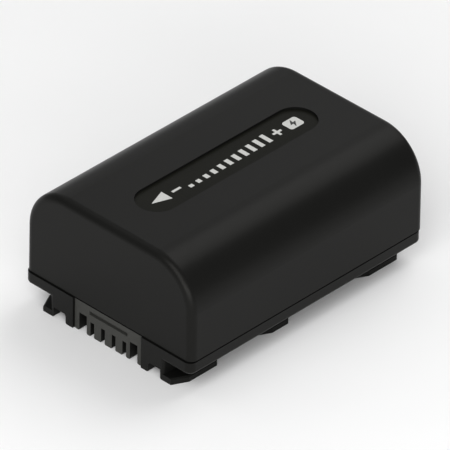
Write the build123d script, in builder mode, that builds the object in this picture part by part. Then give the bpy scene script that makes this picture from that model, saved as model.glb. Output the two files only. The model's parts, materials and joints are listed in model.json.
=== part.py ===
from build123d import *
import os

os.makedirs("parts", exist_ok=True)

# Slide-on camera battery pack, in millimetres.
# X runs across the pack, Y from the terminal end to the rear, Z up from the faces it rests on.

# Cells, which set the size of the case around them
cell_diameter = 14.0
cell_length = 41.2
cell_gap = 0.4  # between the two cans
cell_side_gap = 0.4  # can to side wall
cell_end_gap = 0.9  # can to end wall, room for the welded strips
cell_top_gap = 0.1  # can to ceiling
cell_lift = 0.6  # can above the tray floor, room for strips and sheet
button_diameter = 5.2
button_height = 0.5  # above the crimped edge
neck_depth = 0.5  # rolled groove under the crimped edge
neck_drop = 2.3  # crimped edge to the groove
neck_width = 1.8
ring_thickness = 0.2
ring_inset = 0.4

# Case shells
wall = 0.95
rim_underside = 3.1  # lower edge of the rim above the resting faces
floor_thickness = 0.9
seam_rise = 1.15  # seam above the tray floor
draft_angle = 0.5  # lean of the upper shell's side walls
crown_radius = 7.15  # long top edges, which follow the round cells
end_radius = 1.1  # all round the end walls, over the crown and down the upright corners
rim_edge_radius = 0.5
front_step = 0.2  # the lower shell stands proud at the terminal end
rear_step = 0.2  # and stops short at the rear end

# Welded seam
seam_gap = 0.2  # shadow line left open outside
skirt = 0.5  # part of the upper wall outside the lip
lip_height = 0.7
lip_clearance = 0.04

# Recess in the top and what stiffens it inside
recess_length = 32.8
recess_width = 6.14
recess_depth = 0.35
rib_thickness = 1.2
rib_depth = 2.1
rib_length = 30.0

# Plinth under the tray: pad, grooves and rails
column_width = 1.35  # pad wall beside the terminal block
groove_width = 2.25
groove_ceiling = 1.55
groove_rail_radius = 0.9
groove_pad_radius = 0.35
rail_thickness = 0.6
plinth_edge_radius = 0.4
pad_edge_radius = 0.25

# Hook tabs on the rails, measured from the terminal end
tab_thickness = 0.95
tab_reach = 2.6  # outward from the rail
tab_nose = 1.4  # reach at the start of the lead-in
lead_in = 2.3
front_tab_length = 7.8
middle_tab_start = 15.9
middle_tab_length = 5.6
rear_tab_length = 8.0
rear_tab_setback = 2.15  # from the rear end of the rim
tab_corner_radius = 0.35
tab_edge = 0.2

# Catch pocket in the pad for the holder's latch
catch_width = 6.0
catch_length = 3.0
catch_depth = 1.2
catch_setback = 3.1

# Terminal block
block_width = 12.6
block_depth = 6.4
block_setback = 0.3  # behind the rim's front
block_clearance = 0.1
block_top_gap = 0.1  # under the strips
flange_reach = 0.55
front_wall = 1.2  # pad wall in front of the flanges
fit_clearance = 0.05
contact_names = ["contact_positive", "contact_signal", "contact_sense", "contact_negative"]
contact_pitch = 2.0
contact_slot_width = 0.7
contact_slot_height = 2.35
guide_spacing = 1.75  # outer contact slot to guide slot
guide_slot_width = 1.4
guide_slot_height = 2.9
slot_depth = 5.3
fin_radius = 0.2
fin_share = 0.45  # most of a fin's width that one rounding may take
stripe_width = 7.15
stripe_height = 0.6
stripe_drop = 0.87
stripe_depth = 0.45

# Contacts
leaf_thickness = 0.15
leaf_pinch = 0.22  # half the gap where the leaves grip a blade
leaf_taper = 0.9  # length of the flared mouth
leaf_spring = 1.3  # length from the pinch back to the full gap
contact_setback = 2.2  # behind the front face
contact_bottom = 0.6
contact_back = 0.5  # in front of the block's rear face
tail_width = 0.8
tail_length = 2.0  # soldered on the board

# Circuit board in the pad
pad_floor = 0.9
ledge_rise = 0.6
ledge_width = 1.0
board_thickness = 0.8
board_clearance = 0.15
board_rear_setback = 9.1  # cavity's end from the pad's rear end
pin_diameter = 1.0
pin_clearance = 0.05
pin_height = 0.25  # above the board
boss_diameter = 2.2
pin_inset = 1.6  # from the ledge's inner edge
pin_setback = 2.6

# Welded strips
strip_thickness = 0.15
strip_width = 2.4
strip_inset = 0.3  # from the cavity's side wall
strip_top = 1.3  # above the cell axis
strip_drop = 0.6  # behind the board's edge, where it steps down
foot_length = 2.0
bend_radius = 0.3
link_height = 3.4
link_overlap = 1.8  # past each cell axis

# Insulating sheet and glue
sheet_thickness = 0.2
sheet_overlap = 1.5
sheet_front = 3.0  # from the board's front edge
sheet_rear = 1.5
glue_gap = 0.3
glue_reach = 3.8
glue_length = 30.0
glue_clearance = 0.05

# Parts on the board: across the board, and back from its front edge
chip_height = 0.9
chip_standoff = 0.1
lead_width = 0.3
lead_thickness = 0.14
lead_foot = 0.5
lead_pitch = 0.65
leads_per_side = 4
switch_body = 4.4
switch_span = 6.0
switch_depth = 3.0
switch_back = 5.2
protection_body = 3.0
protection_span = 4.8
protection_depth = 3.0
gauge_side = 4.0
gauge_height = 0.8
gauge_corner = 0.5
chip_offset = 2.9
chip_back = 10.0
power_length = 3.2
power_width = 1.6
power_height = 0.6
power_cap = 0.6  # soldered end
power_offset = 4.9
power_back = 5.0
small_length = 1.6
small_width = 0.8
small_cap = 0.35
resistor_height = 0.45
capacitor_height = 0.8
small_offset = 3.95
small_columns = 2
small_rows = 3
small_pitch_x = 2.1
small_pitch_y = 1.6
small_back = 15.2
cap_proud = 0.03
bead_diameter = 1.6
bead_height = 2.4
bead_drop = 3.7  # top of the bead below the cell axis
bead_back = 13.6
wire_diameter = 0.3
wire_spacing = 0.6
sheet_hole = 2.6

# Places that follow from the sizes above
case_width = 2 * cell_diameter + cell_gap + 2 * cell_side_gap + 2 * wall
upper_length = cell_length + 2 * cell_end_gap + 2 * wall
case_length = upper_length + front_step
lower_length = case_length - rear_step
floor_top = rim_underside + floor_thickness
seam_height = floor_top + seam_rise
rim_top = seam_height - seam_gap
cell_axis_z = floor_top + cell_lift + cell_diameter / 2
cell_axis_x = (cell_diameter + cell_gap) / 2
ceiling = cell_axis_z + cell_diameter / 2 + cell_top_gap
case_height = ceiling + wall
front = -case_length / 2
upper_middle = front + front_step + upper_length / 2
lower_middle = front + lower_length / 2
inner_width = case_width - 2 * wall
inner_length = upper_length - 2 * wall
inner_front = upper_middle - inner_length / 2
cell_front = upper_middle - cell_length / 2
cell_rear = upper_middle + cell_length / 2

block_half = block_width / 2
opening_half = block_half + block_clearance
flange_half = block_half + flange_reach
cavity_half = flange_half + fit_clearance
pad_half = opening_half + column_width
rail_inner = pad_half + groove_width
rail_outer = rail_inner + rail_thickness
rail_rear = front + lower_length - rear_tab_setback
rail_length = rail_rear - front
block_front = front + block_setback
block_rear = block_front + block_depth
opening_rear = block_rear + block_clearance
block_body_top = floor_top - block_top_gap
block_head_top = rim_top - block_clearance
contact_row = contact_pitch * (len(contact_names) - 1)
contact_places = [contact_pitch * index - contact_row / 2 for index in range(len(contact_names))]
guide_place = contact_places[-1] + guide_spacing

ledge = pad_floor + ledge_rise
board_top = ledge + board_thickness
cavity_rear = rail_rear - board_rear_setback
board_front = opening_rear + board_clearance
board_rear = cavity_rear - board_clearance
board_half = cavity_half - board_clearance
board_middle = (board_front + board_rear) / 2
board_length = board_rear - board_front
pin_x = cavity_half - ledge_width - pin_inset
pin_places = [(-pin_x, board_rear - pin_setback), (pin_x, board_rear - pin_setback)]
strip_middle = cavity_half - strip_inset - strip_width / 2
bead_place = board_front + bead_back


def crowned_form(inset):
    """The upper shell's form from the seam up, or its cavity when inset by the wall."""
    rise = case_height - inset - seam_height
    with BuildPart() as form:
        with BuildSketch(Plane.XZ.offset(-upper_middle)) as cross_section:
            with Locations((0, seam_height)):
                Trapezoid(case_width - 2 * inset, rise, 90 - draft_angle, align=(Align.CENTER, Align.MIN))
            fillet(cross_section.vertices().group_by(Axis.Y)[-1], crown_radius - inset)
        extrude(amount=upper_length / 2 - inset, both=True)
    return form.part


# Upper shell
shell_form = crowned_form(0)
shell_cavity = crowned_form(wall)
with BuildPart() as upper_case:
    add(shell_form)
    end_walls = upper_case.faces().sort_by(Axis.Y)
    end_edges = end_walls[0].edges() + end_walls[-1].edges()
    fillet(end_edges.filter_by(lambda edge: edge.center().Z > seam_height + seam_gap), end_radius)
    add(shell_cavity, mode=Mode.SUBTRACT)
    with BuildSketch(Plane((0, upper_middle, seam_height))):
        RectangleRounded(case_width - 2 * skirt, upper_length - 2 * skirt, end_radius - skirt)
    extrude(amount=lip_height, mode=Mode.SUBTRACT)
    with BuildSketch(Plane((0, upper_middle, ceiling - recess_depth))):
        SlotOverall(recess_length + 2 * wall, recess_width + 2 * wall, rotation=90)
    extrude(amount=recess_depth)
    with BuildSketch(Plane((0, upper_middle, ceiling - recess_depth - rib_depth))):
        Rectangle(rib_thickness, rib_length)
    extrude(amount=rib_depth)
    with BuildSketch(Plane((0, upper_middle, case_height))):
        SlotOverall(recess_length, recess_width, rotation=90)
    extrude(amount=-recess_depth, mode=Mode.SUBTRACT)
upper_case.part.label = "upper_case"
export_step(upper_case.part, "parts/upper_case.step")


def hook_tab(start, length):
    """One outward hook on the rail at +X, with a lead-in at its front and a square rear end."""
    tip = rail_outer + tab_reach
    root = rail_outer - rail_thickness / 2
    with BuildPart() as tab:
        with BuildSketch() as outline:
            with BuildLine():
                Polyline(
                    (root, start),
                    (rail_outer + tab_nose, start),
                    (tip, start + lead_in),
                    (tip, start + length),
                    (root, start + length),
                    close=True,
                )
            make_face()
            fillet(outline.vertices().group_by(Axis.Y)[-1].sort_by(Axis.X)[-1], tab_corner_radius)
        extrude(amount=tab_thickness)
        upper_edges = tab.faces().sort_by(Axis.Z)[-1].edges()
        chamfer(upper_edges.filter_by(lambda edge: edge.center().X > rail_outer + tab_nose), tab_edge)
    return tab.part


# Lower shell: the plinth's section runs the length of the rails
groove_middle = pad_half + groove_width / 2
with BuildPart() as plinth:
    with BuildSketch(Plane.XZ.offset(-front)) as plinth_section:
        Rectangle(2 * rail_outer, rim_underside + rim_edge_radius, align=(Align.CENTER, Align.MIN))
        with Locations((-groove_middle, 0), (groove_middle, 0)):
            Rectangle(groove_width, groove_ceiling, align=(Align.CENTER, Align.MIN), mode=Mode.SUBTRACT)
        ceiling_corners = plinth_section.vertices().group_by(Axis.Y)[1]
        pad_side = ceiling_corners.filter_by(lambda corner: abs(corner.X) < groove_middle)
        rail_side = ceiling_corners.filter_by(lambda corner: abs(corner.X) > groove_middle)
        fillet(pad_side, groove_pad_radius)
        fillet(rail_side, groove_rail_radius)
        lower_corners = plinth_section.vertices().group_by(Axis.Y)[0]
        outer_corners = lower_corners.group_by(Axis.X)[0] + lower_corners.group_by(Axis.X)[-1]
        fillet(lower_corners - outer_corners, pad_edge_radius)
    extrude(amount=-rail_length)
    upright_edges = plinth.edges().filter_by(Axis.Z).group_by(Axis.Y)[0]
    fillet(upright_edges.group_by(Axis.X)[0] + upright_edges.group_by(Axis.X)[-1], plinth_edge_radius)

tabs = [
    hook_tab(front, front_tab_length),
    hook_tab(front + middle_tab_start, middle_tab_length),
    hook_tab(rail_rear - rear_tab_length, rear_tab_length),
]
with BuildPart() as lower_case:
    with BuildSketch(Plane((0, lower_middle, rim_underside))):
        RectangleRounded(case_width, lower_length, end_radius)
    extrude(amount=rim_top - rim_underside)
    fillet(lower_case.edges().group_by(Axis.Z)[0], rim_edge_radius)
    add(plinth.part)
    for tab in tabs:
        add(tab)
        add(mirror(tab, about=Plane.YZ, mode=Mode.PRIVATE))
    # Lip that stands in the upper shell's rabbet, then the tray inside it
    lip_inset = skirt + lip_clearance
    lip_width = case_width - 2 * lip_inset
    lip_length = upper_length - 2 * lip_inset
    with BuildSketch(Plane((0, upper_middle, floor_top))):
        RectangleRounded(lip_width, lip_length, end_radius - lip_inset)
    extrude(amount=seam_rise + lip_height)
    with BuildSketch(Plane((0, upper_middle, floor_top))):
        Rectangle(inner_width, inner_length)
    extrude(amount=seam_rise + lip_height, mode=Mode.SUBTRACT)
    # Opening for the terminal block, open to the front and below
    with BuildSketch(Plane((0, front, 0))):
        Rectangle(2 * opening_half, opening_rear - front, align=(Align.CENTER, Align.MIN))
    extrude(amount=seam_height + lip_height, mode=Mode.SUBTRACT)
    # Board cavity in the pad, with a ledge that the board and the block's flanges sit on
    with BuildSketch(Plane((0, front + front_wall, ledge))):
        Rectangle(2 * cavity_half, cavity_rear - front - front_wall, align=(Align.CENTER, Align.MIN))
    extrude(amount=floor_top - ledge, mode=Mode.SUBTRACT)
    with BuildSketch(Plane((0, opening_rear + ledge_width, pad_floor))):
        Rectangle(
            2 * (cavity_half - ledge_width),
            cavity_rear - opening_rear - 2 * ledge_width,
            align=(Align.CENTER, Align.MIN),
        )
    extrude(amount=ledge_rise, mode=Mode.SUBTRACT)
    # Bosses and pins that place the board
    with BuildSketch(Plane.XY.offset(pad_floor)):
        with Locations(*pin_places):
            Circle(boss_diameter / 2)
    extrude(amount=ledge_rise)
    with BuildSketch(Plane.XY.offset(ledge)):
        with Locations(*pin_places):
            Circle(pin_diameter / 2)
    extrude(amount=board_thickness + pin_height)
    # Catch pocket, near the pad's rear end
    with BuildSketch(Plane((0, rail_rear - catch_setback, 0))):
        Rectangle(catch_width, catch_length, align=(Align.CENTER, Align.MAX))
    extrude(amount=catch_depth, mode=Mode.SUBTRACT)
lower_case.part.label = "lower_case"
export_step(lower_case.part, "parts/lower_case.step")


# Terminal block: a comb of fins at the front, closed behind, with flanges that sit on the ledge
outer_fin = block_half - guide_place - guide_slot_width / 2
inner_fin = guide_spacing - (guide_slot_width + contact_slot_width) / 2
contact_fin = contact_pitch - contact_slot_width
fin_round = min(fin_radius, fin_share * min(outer_fin, inner_fin, contact_fin))
with BuildPart() as terminal_block:
    with BuildSketch(Plane.XZ.offset(-block_front)) as comb:
        Rectangle(block_width, block_body_top, align=(Align.CENTER, Align.MIN))
        with Locations(*[(place, 0) for place in contact_places]):
            Rectangle(
                contact_slot_width,
                contact_slot_height,
                align=(Align.CENTER, Align.MIN),
                mode=Mode.SUBTRACT,
            )
        with Locations((-guide_place, 0), (guide_place, 0)):
            Rectangle(
                guide_slot_width,
                guide_slot_height,
                align=(Align.CENTER, Align.MIN),
                mode=Mode.SUBTRACT,
            )
        fillet(comb.vertices().group_by(Axis.Y)[0], fin_round)
    extrude(amount=-slot_depth)
    with BuildSketch(Plane.XZ.offset(-block_front - slot_depth)):
        Rectangle(block_width, block_body_top, align=(Align.CENTER, Align.MIN))
    extrude(amount=slot_depth - block_depth)
    with BuildSketch(Plane.XZ.offset(-block_front)):
        Rectangle(block_width, block_head_top, align=(Align.CENTER, Align.MIN))
        Rectangle(block_width, block_body_top, align=(Align.CENTER, Align.MIN), mode=Mode.SUBTRACT)
    extrude(amount=block_front - inner_front)
    # Lip behind the head, in line with the tray's own lip
    with BuildSketch(Plane((0, inner_front, block_body_top))):
        Rectangle(block_width, wall - lip_inset, align=(Align.CENTER, Align.MAX))
    extrude(amount=seam_height + lip_height - block_body_top)
    with BuildSketch(Plane((0, block_rear, ledge))):
        Rectangle(
            2 * flange_half, block_depth - front_wall - fit_clearance, align=(Align.CENTER, Align.MAX)
        )
        Rectangle(block_width, block_depth, align=(Align.CENTER, Align.MAX), mode=Mode.SUBTRACT)
    extrude(amount=block_body_top - ledge)
    # Pockets that the contacts are pushed into from behind
    pocket_half = contact_slot_width / 2 + leaf_thickness + fit_clearance
    pocket_bottom = contact_bottom - fit_clearance
    pocket_height = board_top + leaf_thickness + fit_clearance - pocket_bottom
    with BuildSketch(Plane((0, block_rear, pocket_bottom))):
        with Locations(*[(place, 0) for place in contact_places]):
            Rectangle(2 * pocket_half, block_depth - contact_setback, align=(Align.CENTER, Align.MAX))
    extrude(amount=pocket_height, mode=Mode.SUBTRACT)
    # Shallow stripe along the front
    with BuildSketch(Plane.XZ.offset(-block_front)):
        with Locations((0, rim_top - stripe_drop)):
            Rectangle(stripe_width, stripe_height, align=(Align.CENTER, Align.MAX))
    extrude(amount=-stripe_depth, mode=Mode.SUBTRACT)
terminal_block.part.label = "terminal_block"
export_step(terminal_block.part, "parts/terminal_block.step")

# Contacts: a folded clip whose two leaves pinch the holder's blade, and a tail on the board
throat = contact_slot_width / 2
mouth_y = block_front + contact_setback + fit_clearance
back_y = block_rear - contact_back
for name, place in zip(contact_names, contact_places):
    with BuildPart() as contact:
        with BuildSketch(Plane((place, 0, contact_bottom))):
            with BuildLine():
                Polyline(
                    (throat, mouth_y),
                    (leaf_pinch, mouth_y + leaf_taper),
                    (throat, mouth_y + leaf_taper + leaf_spring),
                    (throat, back_y),
                    (-throat, back_y),
                    (-throat, mouth_y + leaf_taper + leaf_spring),
                    (-leaf_pinch, mouth_y + leaf_taper),
                    (-throat, mouth_y),
                )
                offset(amount=leaf_thickness, side=Side.RIGHT, kind=Kind.INTERSECTION)
            make_face()
        extrude(amount=board_top + leaf_thickness - contact_bottom)
        with BuildSketch(Plane((place, back_y, board_top))):
            Rectangle(tail_width, board_front + tail_length - back_y, align=(Align.CENTER, Align.MIN))
        extrude(amount=leaf_thickness)
    contact.part.label = name
    export_step(contact.part, f"parts/{name}.step")

# Circuit board, on the ledge and over the pins
with BuildPart() as circuit_board:
    with BuildSketch(Plane.XY.offset(ledge)):
        with Locations((0, board_middle)):
            Rectangle(2 * board_half, board_length)
        with Locations(*pin_places):
            Circle(pin_diameter / 2 + pin_clearance, mode=Mode.SUBTRACT)
    extrude(amount=board_thickness)
circuit_board.part.label = "circuit_board"
export_step(circuit_board.part, "parts/circuit_board.step")


def soldered_block(length, width, height, cap):
    """A chip part lying along X, with a soldered cap at each end."""
    with BuildPart() as block:
        for end in (-1, 1):
            with BuildSketch(Plane((end * (length - cap) / 2, 0, 0))):
                Rectangle(cap, width)
            extrude(amount=height)
        with BuildSketch(Plane((0, 0, cap_proud))):
            Rectangle(length - cap, width - 2 * cap_proud)
        extrude(amount=height - 2 * cap_proud)
    return block.part


def leaded_chip(body, span, depth):
    """A flat chip with a row of folded leads along each side, its body lifted off the board."""
    lead_rise = chip_standoff + chip_height / 2
    with BuildPart() as chip:
        with BuildSketch(Plane.XY.offset(chip_standoff)):
            Rectangle(body, depth)
        extrude(amount=chip_height)
        with BuildSketch(Plane.XZ):
            with BuildLine():
                Polyline(
                    (span / 2, 0),
                    (span / 2 - lead_foot, 0),
                    (span / 2 - lead_foot, lead_rise),
                    (0, lead_rise),
                )
                offset(amount=lead_thickness, side=Side.RIGHT, kind=Kind.INTERSECTION)
            make_face()
        lead = extrude(amount=lead_width / 2, both=True, mode=Mode.PRIVATE)
        with GridLocations(0, lead_pitch, 1, leads_per_side):
            add(lead)
            add(lead, rotation=(0, 0, 180))
    return chip.part


# Larger parts on the board
switch_form = leaded_chip(switch_body, switch_span, switch_depth)
protection_form = leaded_chip(protection_body, protection_span, protection_depth)
power_form = soldered_block(power_length, power_width, power_height, power_cap)
with BuildPart() as switch_chip:
    with Locations((0, board_front + switch_back, board_top)):
        add(switch_form)
switch_chip.part.label = "switch_chip"
export_step(switch_chip.part, "parts/switch_chip.step")

with BuildPart() as protection_chip:
    with Locations((chip_offset, board_front + chip_back, board_top)):
        add(protection_form)
protection_chip.part.label = "protection_chip"
export_step(protection_chip.part, "parts/protection_chip.step")

with BuildPart() as gauge_chip:
    with BuildSketch(Plane((-chip_offset, board_front + chip_back, board_top))) as gauge_outline:
        Rectangle(gauge_side, gauge_side)
        chamfer(gauge_outline.vertices().sort_by(Axis.X)[0], gauge_corner)
    extrude(amount=gauge_height)
gauge_chip.part.label = "gauge_chip"
export_step(gauge_chip.part, "parts/gauge_chip.step")

with BuildPart() as fuse:
    with Locations((-power_offset, board_front + power_back, board_top)):
        add(power_form, rotation=(0, 0, 90))
fuse.part.label = "fuse"
export_step(fuse.part, "parts/fuse.step")

with BuildPart() as sense_resistor:
    with Locations((power_offset, board_front + power_back, board_top)):
        add(power_form, rotation=(0, 0, 90))
sense_resistor.part.label = "sense_resistor"
export_step(sense_resistor.part, "parts/sense_resistor.step")

# Two groups of small chip parts
resistor_form = soldered_block(small_length, small_width, resistor_height, small_cap)
capacitor_form = soldered_block(small_length, small_width, capacitor_height, small_cap)
with BuildPart() as chip_resistors:
    with Locations((-small_offset, board_front + small_back, board_top)):
        with GridLocations(small_pitch_x, small_pitch_y, small_columns, small_rows):
            add(resistor_form)
chip_resistors.part.label = "chip_resistors"
export_step(chip_resistors.part, "parts/chip_resistors.step")

with BuildPart() as chip_capacitors:
    with Locations((small_offset, board_front + small_back, board_top)):
        with GridLocations(small_pitch_x, small_pitch_y, small_columns, small_rows):
            add(capacitor_form)
chip_capacitors.part.label = "chip_capacitors"
export_step(chip_capacitors.part, "parts/chip_capacitors.step")

# Thermistor: a bead in the valley between the cells, on two wires
bead_bottom = cell_axis_z - bead_drop - bead_height
with BuildPart() as thermistor:
    with BuildSketch(Plane((0, bead_place, bead_bottom))):
        Circle(bead_diameter / 2)
    extrude(amount=bead_height)
    with BuildSketch(Plane((0, bead_place, board_top))):
        with Locations((-wire_spacing / 2, 0), (wire_spacing / 2, 0)):
            Circle(wire_diameter / 2)
    extrude(amount=bead_bottom + bead_height / 2 - board_top)
thermistor.part.label = "thermistor"
export_step(thermistor.part, "parts/thermistor.step")

# Insulating sheet between the board and the cells, on the tray floor
with BuildPart() as insulating_sheet:
    with BuildSketch(Plane.XY.offset(floor_top)):
        with Locations((0, board_front + sheet_front)):
            Rectangle(
                2 * (cavity_half + sheet_overlap),
                board_length - sheet_front - sheet_rear,
                align=(Align.CENTER, Align.MIN),
            )
        with Locations((0, bead_place)):
            Rectangle(sheet_hole, sheet_hole, mode=Mode.SUBTRACT)
    extrude(amount=sheet_thickness)
insulating_sheet.part.label = "insulating_sheet"
export_step(insulating_sheet.part, "parts/insulating_sheet.step")

# Cells, head to tail: the left one has its button at the terminal end, the right one at the rear
can = cell_diameter / 2
crimp_top = cell_length - button_height
neck_top = crimp_top - neck_drop
for side, base_y, heading in (("left", cell_rear, -1), ("right", cell_front, 1)):
    axis_x = heading * cell_axis_x
    base_plane = Plane((axis_x, base_y, cell_axis_z), x_dir=(1, 0, 0), z_dir=(0, 0, heading))
    with BuildPart() as cell:
        with BuildSketch(base_plane):
            with BuildLine():
                Polyline(
                    (0, 0),
                    (can, 0),
                    (can, neck_top - neck_width),
                    (can - neck_depth, neck_top - neck_width / 2),
                    (can, neck_top),
                    (can, crimp_top),
                    (button_diameter / 2, crimp_top),
                    (button_diameter / 2, cell_length),
                    (0, cell_length),
                    close=True,
                )
            make_face()
        revolve(axis=Axis((axis_x, base_y, cell_axis_z), (0, 1, 0)))
    cell.part.label = f"cell_{side}"
    export_step(cell.part, f"parts/cell_{side}.step")

    # Insulating ring on the crimped edge
    ring_plane = Plane(
        (axis_x, base_y + heading * crimp_top, cell_axis_z), x_dir=(1, 0, 0), z_dir=(0, heading, 0)
    )
    with BuildPart() as ring:
        with BuildSketch(ring_plane):
            Circle(can - ring_inset)
            Circle(button_diameter / 2 + ring_inset, mode=Mode.SUBTRACT)
        extrude(amount=ring_thickness)
    ring.part.label = f"insulator_ring_{side}"
    export_step(ring.part, f"parts/insulator_ring_{side}.step")

    # Bed of glue between the tray floor and the can
    glue_inner = cavity_half + sheet_overlap + glue_gap
    glue_outer = cell_axis_x + glue_reach
    with BuildPart() as glue:
        with BuildSketch(Plane((heading * (glue_inner + glue_outer) / 2, upper_middle, floor_top))):
            Rectangle(glue_outer - glue_inner, glue_length)
        extrude(amount=cell_axis_z - floor_top)
        with BuildSketch(Plane.XZ.offset(-upper_middle)):
            with Locations((axis_x, cell_axis_z)):
                Circle(can + glue_clearance)
        extrude(amount=glue_length, both=True, mode=Mode.SUBTRACT)
    glue.part.label = f"glue_{side}"
    export_step(glue.part, f"parts/glue_{side}.step")


def folded_strip(middle, end_y, step_y, heading):
    """A strip from a cell's end face, down and along the tray floor, then down on to the board."""
    tray = floor_top + strip_thickness
    foot = board_top + strip_thickness
    with BuildPart() as strip:
        with BuildSketch(Plane.YZ.offset(middle - strip_width / 2)):
            with BuildLine():
                FilletPolyline(
                    (end_y, cell_axis_z + strip_top),
                    (end_y, tray),
                    (step_y, tray),
                    (step_y, foot),
                    (step_y + heading * foot_length, foot),
                    radius=bend_radius,
                )
                offset(amount=strip_thickness, side=Side.RIGHT if heading > 0 else Side.LEFT)
            make_face()
        extrude(amount=strip_width)
    return strip.part


# Strips from the terminal end, and the link across the rear end with its own tail
front_drop = board_front + strip_drop
rear_drop = board_rear - strip_drop
for name, middle in (("positive_strip", -strip_middle), ("negative_strip", strip_middle)):
    strip = folded_strip(middle, cell_front, front_drop, 1)
    strip.label = name
    export_step(strip, f"parts/{name}.step")

link_tail = folded_strip(0, cell_rear, rear_drop, -1)
with BuildPart() as series_link:
    add(link_tail)
    with BuildSketch(Plane.XZ.offset(-cell_rear)):
        with Locations((0, cell_axis_z)):
            Rectangle(2 * (cell_axis_x + link_overlap), link_height)
    extrude(amount=-strip_thickness)
series_link.part.label = "series_link"
export_step(series_link.part, "parts/series_link.step")
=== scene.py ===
"""Looks of a slide-on camera battery pack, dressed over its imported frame. Lengths are in metres."""
import json
import math

import bpy
from mathutils import Matrix, Vector


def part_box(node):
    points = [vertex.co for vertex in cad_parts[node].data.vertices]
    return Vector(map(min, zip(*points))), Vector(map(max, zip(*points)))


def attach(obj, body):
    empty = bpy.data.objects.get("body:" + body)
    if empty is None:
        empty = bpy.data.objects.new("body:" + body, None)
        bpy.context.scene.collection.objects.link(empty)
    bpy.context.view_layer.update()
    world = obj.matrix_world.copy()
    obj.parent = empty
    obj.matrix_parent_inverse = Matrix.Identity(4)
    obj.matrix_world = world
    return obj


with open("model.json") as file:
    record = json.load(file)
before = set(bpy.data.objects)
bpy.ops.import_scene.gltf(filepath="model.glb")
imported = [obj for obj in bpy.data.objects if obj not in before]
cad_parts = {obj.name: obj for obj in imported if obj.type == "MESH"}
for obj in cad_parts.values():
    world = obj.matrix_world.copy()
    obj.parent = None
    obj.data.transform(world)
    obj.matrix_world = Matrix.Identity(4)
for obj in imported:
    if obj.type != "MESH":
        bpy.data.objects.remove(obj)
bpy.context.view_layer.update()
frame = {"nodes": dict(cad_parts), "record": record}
nodes = frame["nodes"]
MM = 0.001

# Recess in the top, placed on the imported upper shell
RECESS_DEPTH = 0.35 * MM
shell_low, shell_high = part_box("upper_case")
RECESS_FLOOR = shell_high.z - RECESS_DEPTH
RECESS_MIDDLE = (shell_low.y + shell_high.y) / 2

# Front of the terminal block, with a stripe sunk into it over the slots
STRIPE_RISE = 3.78 * MM
STRIPE_REACH = 0.35 * MM
block_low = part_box("terminal_block")[0]
STRIPE_MIDDLE = block_low.z + STRIPE_RISE

# How a face is told apart: its distance from the recess floor, the block's front and the block's underside
FLOOR_MARGIN = 0.02 * MM
FRONT_MARGIN = 0.1 * MM
FOOT_MARGIN = 0.05 * MM
FACES_UP = 0.99

# Print on the recess floor, in millimetres across (x) and along the pack (y)
# The signs stand in a row along the pack, with their feet at +x
INK_HEIGHT = 0.02
ROW_FOOT = 1.0
ROW_HEIGHT = 2.1
ROW_MIDDLE = ROW_FOOT - ROW_HEIGHT / 2
STROKE = 0.4
ARROW_TIP = -14.3
ARROW_BACK = -11.4
MINUS_PLACE = -9.6
PLUS_PLACE = 9.75
SIGN_SIZE = 1.6
BAR_FIRST = -7.5
BAR_LAST = 7.6
BAR_COUNT = 11
BAR_WIDTH = 0.7
BAR_LOWEST = 0.6
BOX_PLACE = 12.85
BOX_LENGTH = 2.6
BOX_RADIUS = 0.45
CORNER_STEPS = 6
HALF_BOLT = [(-0.85, 0.2), (0.16, -0.6), (0.16, -0.08)]

# Camera, fitted to the photograph's outline
VIEW_AZIMUTH = math.radians(43.564)
VIEW_ELEVATION = math.radians(34.832)
VIEW_ROLL = math.radians(1.0325)
VIEW_DISTANCE = 1236.3 * MM
VIEW_TARGET = Vector((-0.067, 0.037, 8.893)) * MM
VIEW_LIMIT = 100
SENSOR = 36.0
IMAGE_SIZE = 450
PIXELS_PER_MM = 7.437

# Stage
FLOOR_HALF = 6.0
LIGHT_DISTANCE = 0.7
ROOM_STRENGTH = 0.31

# Materials: the middle of a noise value, which carries the change of tone and of sheen
NOISE_LOW = 0.3
NOISE_HIGH = 0.7
NOISE_ROUGHNESS = 0.55

# Materials: moulded plastic
PLASTIC_TONE = 0.06
PLASTIC_SHEEN = 0.04
PLASTIC_PATCHES = 90
PLASTIC_RELIEF = 0.006 * MM
PLASTIC_TINT = (1, 0.99, 0.95, 1)

# Materials: plated metal, with drawn lines along the pack
METAL_SHEEN = 0.08
METAL_LINES = 9000
METAL_STRETCH = (1, 0.06, 1)
METAL_RELIEF = 0.002 * MM

# Materials: speckled surfaces
SPECKLE_SHEEN = 0.06
INK_RELIEF = 0.002 * MM


def build_camera():
    """The photograph's camera: a long lens that looks down at the terminal end and the right side."""
    back = Vector((
        math.sin(VIEW_AZIMUTH) * math.cos(VIEW_ELEVATION),
        -math.cos(VIEW_AZIMUTH) * math.cos(VIEW_ELEVATION),
        math.sin(VIEW_ELEVATION),
    ))
    right = Vector((math.cos(VIEW_AZIMUTH), math.sin(VIEW_AZIMUTH), 0))
    turn = Matrix.Rotation(VIEW_ROLL, 3, back)
    right = turn @ right
    up = back.cross(right)
    camera = bpy.data.objects.new("camera", bpy.data.cameras.new("camera"))
    bpy.context.scene.collection.objects.link(camera)
    axes = Matrix((right, up, back)).transposed()
    camera.matrix_world = Matrix.Translation(VIEW_TARGET + back * VIEW_DISTANCE) @ axes.to_4x4()
    camera.data.sensor_width = SENSOR
    camera.data.lens = PIXELS_PER_MM * VIEW_DISTANCE / MM / IMAGE_SIZE * SENSOR
    camera.data.clip_end = VIEW_LIMIT
    bpy.context.scene.camera = camera


# Materials
def new_material(name):
    """A node material and its shader."""
    material = bpy.data.materials.new(name)
    material.use_nodes = True
    return material, material.node_tree.nodes["Principled BSDF"]


def add_node(material, kind, **values):
    """A node of that kind, with its sockets set by name."""
    node = material.node_tree.nodes.new(kind)
    for key, value in values.items():
        node.inputs[key.replace("_", " ")].default_value = value
    return node


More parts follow.
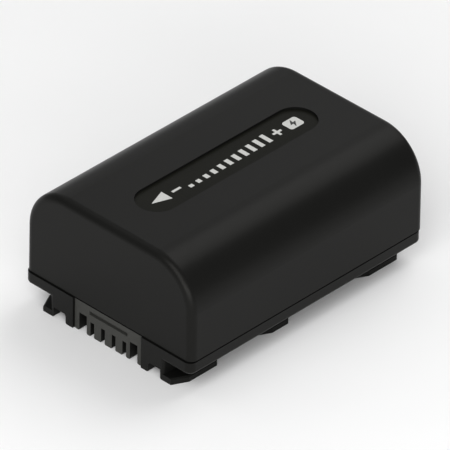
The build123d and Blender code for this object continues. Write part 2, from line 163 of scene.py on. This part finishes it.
def link(material, source, target):
    """Joins an output of one node to an input of another."""
    material.node_tree.links.new(source, target)


def grain(material, scale, detail):
    """Noise in the object's own coordinates, as a value from 0 to 1."""
    place = add_node(material, "ShaderNodeTexCoord")
    noise = add_node(material, "ShaderNodeTexNoise", Scale=scale, Detail=detail, Roughness=NOISE_ROUGHNESS)
    link(material, place.outputs["Object"], noise.inputs["Vector"])
    return noise.outputs["Fac"]


def ramp(material, value, low, high):
    """A colour ramp between two colours over the middle of a noise value."""
    node = add_node(material, "ShaderNodeValToRGB")
    first, last = node.color_ramp.elements
    first.position = NOISE_LOW
    first.color = (*low, 1)
    last.position = NOISE_HIGH
    last.color = (*high, 1)
    link(material, value, node.inputs["Fac"])
    return node.outputs["Color"]


def spread(material, value, middle, reach):
    """A noise value carried to the numbers round a middle one."""
    node = add_node(
        material, "ShaderNodeMapRange",
        From_Min=NOISE_LOW, From_Max=NOISE_HIGH, To_Min=middle - reach, To_Max=middle + reach,
    )
    link(material, value, node.inputs["Value"])
    return node.outputs["Result"]


def bump(material, shader, value, height):
    """Fine relief from a noise value."""
    node = add_node(material, "ShaderNodeBump", Strength=1.0, Distance=height)
    link(material, value, node.inputs["Height"])
    link(material, node.outputs["Normal"], shader.inputs["Normal"])


def moulded_plastic(name, colour, roughness, specular, texture):
    """Moulded plastic: a slightly uneven tone and sheen, over the fine texture of its mould."""
    material, shader = new_material(name)
    broad = grain(material, PLASTIC_PATCHES, detail=3)
    fine = grain(material, texture, detail=4)
    low = [c * (1 - PLASTIC_TONE) for c in colour]
    high = [c * (1 + PLASTIC_TONE) for c in colour]
    link(material, ramp(material, broad, low, high), shader.inputs["Base Color"])
    link(material, spread(material, fine, roughness, PLASTIC_SHEEN), shader.inputs["Roughness"])
    bump(material, shader, fine, PLASTIC_RELIEF)
    shader.inputs["Specular IOR Level"].default_value = specular
    shader.inputs["Specular Tint"].default_value = PLASTIC_TINT
    return material


def plated_metal(name, colour, tone, roughness):
    """Plated or rolled metal with fine drawn lines and a slightly uneven tone."""
    material, shader = new_material(name)
    place = add_node(material, "ShaderNodeTexCoord")
    stretch = add_node(material, "ShaderNodeMapping", Scale=METAL_STRETCH)
    noise = add_node(material, "ShaderNodeTexNoise", Scale=METAL_LINES, Detail=3)
    link(material, place.outputs["Object"], stretch.inputs["Vector"])
    link(material, stretch.outputs["Vector"], noise.inputs["Vector"])
    lines = noise.outputs["Fac"]
    low = [c * (1 - tone) for c in colour]
    link(material, ramp(material, lines, low, colour), shader.inputs["Base Color"])
    link(material, spread(material, lines, roughness, METAL_SHEEN), shader.inputs["Roughness"])
    bump(material, shader, lines, METAL_RELIEF)
    shader.inputs["Metallic"].default_value = 1.0
    return material


def speckled(name, low, high, scale, roughness, relief):
    """A matt or glossy surface with a speckle of two near tones."""
    material, shader = new_material(name)
    value = grain(material, scale, detail=5)
    link(material, ramp(material, value, low, high), shader.inputs["Base Color"])
    link(material, spread(material, value, roughness, SPECKLE_SHEEN), shader.inputs["Roughness"])
    bump(material, shader, value, relief)
    return material


# One material for each slot of the record
MATERIALS = {
    "case_black": moulded_plastic(
        "case_black", (0.0057, 0.0057, 0.0053), roughness=0.36, specular=0.103, texture=6000),
    "block_grey": moulded_plastic(
        "block_grey", (0.039, 0.039, 0.036), roughness=0.45, specular=0.1, texture=7000),
    "contact_metal": plated_metal("contact_metal", (0.78, 0.58, 0.27), tone=0.15, roughness=0.3),
    "nickel_strip": plated_metal("nickel_strip", (0.62, 0.6, 0.56), tone=0.12, roughness=0.35),
    "cell_sleeve": speckled(
        "cell_sleeve", (0.035, 0.11, 0.22), (0.05, 0.14, 0.27),
        scale=700, roughness=0.28, relief=0.01 * MM),
    "insulating_paper": speckled(
        "insulating_paper", (0.48, 0.42, 0.31), (0.58, 0.52, 0.4),
        scale=2600, roughness=0.85, relief=0.02 * MM),
    "board_green": speckled(
        "board_green", (0.014, 0.1, 0.04), (0.025, 0.15, 0.06),
        scale=1500, roughness=0.35, relief=0.01 * MM),
    "chip_black": speckled(
        "chip_black", (0.018, 0.018, 0.018), (0.03, 0.03, 0.03),
        scale=5000, roughness=0.6, relief=0.006 * MM),
    "chip_ceramic": speckled(
        "chip_ceramic", (0.4, 0.29, 0.17), (0.52, 0.4, 0.26),
        scale=3000, roughness=0.5, relief=0.006 * MM),
    "glue": speckled(
        "glue", (0.68, 0.67, 0.62), (0.78, 0.77, 0.73),
        scale=1200, roughness=0.4, relief=0.03 * MM),
}

# Finishes of single places, painted shade in the terminal block's slots, and the two inks of the print
RECESS_BLACK = moulded_plastic(
    "recess_black", (0.0068, 0.0069, 0.0051), roughness=0.42, specular=0.058, texture=8000)
# Painted shade: the block's slots and the seam round it get a near-black colour where shade falls, not the
# block's own grey
SLOT_PAINTED_SHADE = moulded_plastic(
    "slot_painted_shade", (0.006, 0.006, 0.0055), roughness=0.5, specular=0.1, texture=7000)
PALE_INK = speckled(
    "pale_ink", (0.5, 0.5, 0.48), (0.56, 0.56, 0.54),
    scale=4000, roughness=0.6, relief=INK_RELIEF)
DARK_INK = speckled(
    "dark_ink", (0.01, 0.01, 0.009), (0.014, 0.014, 0.013),
    scale=4000, roughness=0.5, relief=INK_RELIEF)


def on_recess_floor(face):
    """Tells whether a face of the upper shell is the floor of its recess."""
    return face.normal.z > FACES_UP and abs(face.center.z - RECESS_FLOOR) < FLOOR_MARGIN


def behind_block_front(face):
    """Tells whether a face of the terminal block lies in a slot or in the seam round the block, where shade
    is painted in near black.
    """
    behind = face.center.y > block_low.y + FRONT_MARGIN
    above = face.center.z > block_low.z + FOOT_MARGIN
    in_stripe = abs(face.center.z - STRIPE_MIDDLE) <= STRIPE_REACH
    return behind and above and not in_stripe


def add_finish(node, material, chosen):
    """Gives a second material to the faces of a node that the test picks."""
    data = nodes[node].data
    data.materials.append(material)
    for face in data.polygons:
        if chosen(face):
            face.material_index = 1


def dress_nodes():
    """Gives each CAD node its slot's material, then the recess floor its own finish and the block's slots
    and seam their painted shade.
    """
    for row in frame["record"]["subparts"]:
        data = nodes[row["node"]].data
        data.materials.clear()
        data.materials.append(MATERIALS[row["material_slot"]])
    add_finish("upper_case", RECESS_BLACK, on_recess_floor)
    # Paints shade into the slots and the seam of the terminal block
    add_finish("terminal_block", SLOT_PAINTED_SHADE, behind_block_front)


# Print
def ink_piece(name, outlines, layer, ink):
    """Raised ink on the recess floor, or on the layer of ink below it.

    The outlines run counter-clockwise as seen from above, so that all the faces look outward.
    """
    base = RECESS_FLOOR + layer * INK_HEIGHT * MM
    points = []
    faces = []
    for outline in outlines:
        count = len(outline)
        foot = list(range(len(points), len(points) + count))
        for height in (base, base + INK_HEIGHT * MM):
            points += [(x * MM, RECESS_MIDDLE + y * MM, height) for x, y in outline]
        faces.append(foot[::-1])
        faces.append([i + count for i in foot])
        for i, j in zip(foot, foot[1:] + foot[:1]):
            faces.append((i, j, j + count, i + count))
    mesh = bpy.data.meshes.new(name)
    mesh.from_pydata(points, [], faces)
    mesh.materials.append(ink)
    piece = bpy.data.objects.new(name, mesh)
    bpy.context.scene.collection.objects.link(piece)
    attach(piece, "root")


def rectangle(x, y, width, length):
    """A rectangle round that point."""
    return [(x + i * width / 2, y + j * length / 2) for i, j in ((1, -1), (1, 1), (-1, 1), (-1, -1))]


def scale_bars():
    """Bars that stand on the foot of the row and grow along the pack."""
    bars = []
    for index in range(BAR_COUNT):
        share = index / (BAR_COUNT - 1)
        height = BAR_LOWEST + share * (ROW_HEIGHT - BAR_LOWEST)
        place = BAR_FIRST + share * (BAR_LAST - BAR_FIRST)
        bars.append(rectangle(ROW_FOOT - height / 2, place, height, BAR_WIDTH))
    return bars


def plus_sign():
    """A plus sign in the middle of the row, one arm after the other."""
    side, reach = STROKE / 2, SIGN_SIZE / 2
    arm = [(reach, -side), (reach, side), (side, side)]
    outline = []
    for _ in range(4):
        outline += arm
        arm = [(-y, x) for x, y in arm]
    return [(ROW_MIDDLE + x, PLUS_PLACE + y) for x, y in outline]


def rounded_box():
    """A box with round corners, as high as the row."""
    outline = []
    for corner, (i, j) in enumerate(((1, 1), (-1, 1), (-1, -1), (1, -1))):
        x = ROW_MIDDLE + i * (ROW_HEIGHT / 2 - BOX_RADIUS)
        y = BOX_PLACE + j * (BOX_LENGTH / 2 - BOX_RADIUS)
        for step in range(CORNER_STEPS + 1):
            angle = math.pi / 2 * (corner + step / CORNER_STEPS)
            outline.append((x + BOX_RADIUS * math.cos(angle), y + BOX_RADIUS * math.sin(angle)))
    return outline


def bolt_sign():
    """A bolt in the middle of the box, the same when it is turned half round."""
    outline = HALF_BOLT + [(-x, -y) for x, y in HALF_BOLT]
    return [(ROW_MIDDLE + x, BOX_PLACE + y) for x, y in outline]


def build_print():
    """An arrow for the way in, a charge scale from minus to plus, and a bolt in a box."""
    arrow = [(ROW_FOOT, ARROW_BACK), (ROW_FOOT - ROW_HEIGHT, ARROW_BACK), (ROW_MIDDLE, ARROW_TIP)]
    minus = rectangle(ROW_MIDDLE, MINUS_PLACE, STROKE, SIGN_SIZE)
    ink_piece("print_arrow", [arrow], 0, PALE_INK)
    ink_piece("print_scale", [minus, *scale_bars(), plus_sign()], 0, PALE_INK)
    ink_piece("print_box", [rounded_box()], 0, PALE_INK)
    ink_piece("print_bolt", [bolt_sign()], 1, DARK_INK)


# Stage
def build_floor():
    """A large pale floor."""
    mesh = bpy.data.meshes.new("floor")
    corners = [(i * FLOOR_HALF, j * FLOOR_HALF, 0) for i, j in ((-1, -1), (1, -1), (1, 1), (-1, 1))]
    mesh.from_pydata(corners, [], [(0, 1, 2, 3)])
    floor = bpy.data.objects.new("floor", mesh)
    bpy.context.scene.collection.objects.link(floor)
    pale = speckled("floor", (0.9, 0.9, 0.9), (0.92, 0.92, 0.92), scale=30, roughness=0.8, relief=0.0)
    mesh.materials.append(pale)


def soft_light(name, azimuth, elevation, width, height, radiance):
    """A round or oval softbox that faces the object, seen from the object in that direction."""
    a, e = math.radians(azimuth), math.radians(elevation)
    away = Vector((math.sin(a) * math.cos(e), -math.cos(a) * math.cos(e), math.sin(e)))
    data = bpy.data.lights.new(name, "AREA")
    data.shape = "ELLIPSE"
    data.size = width
    data.size_y = height
    data.energy = radiance * math.pi ** 2 * width * height / 4
    lamp = bpy.data.objects.new(name, data)
    bpy.context.scene.collection.objects.link(lamp)
    lamp.location = VIEW_TARGET + away * LIGHT_DISTANCE
    lamp.rotation_euler = away.to_track_quat("Z", "Y").to_euler()


def build_room():
    """An even white room all round, shown without a film look."""
    world = bpy.data.worlds.new("room")
    bpy.context.scene.world = world
    world.use_nodes = True
    background = world.node_tree.nodes["Background"]
    background.inputs["Color"].default_value = (1, 1, 1, 1)
    background.inputs["Strength"].default_value = ROOM_STRENGTH
    bpy.context.scene.view_settings.view_transform = "Standard"


def build_light():
    """Softboxes behind and at the left, high and low, a broad key in front and a low strip by the camera."""
    soft_light("back_light", azimuth=180, elevation=55, width=0.5, height=0.5, radiance=2.45)
    soft_light("left_light", azimuth=275, elevation=55, width=0.5, height=0.45, radiance=0.6)
    soft_light("low_back_light", azimuth=210, elevation=28, width=0.36, height=0.36, radiance=1.0)
    soft_light("low_left_light", azimuth=240, elevation=28, width=0.36, height=0.36, radiance=0.55)
    soft_light("key_light", azimuth=22, elevation=44, width=0.6, height=0.56, radiance=3.1)
    soft_light("strip_light", azimuth=50, elevation=14, width=0.8, height=0.34, radiance=4.6)


dress_nodes()
build_print()
build_camera()
build_floor()
build_light()
build_room()
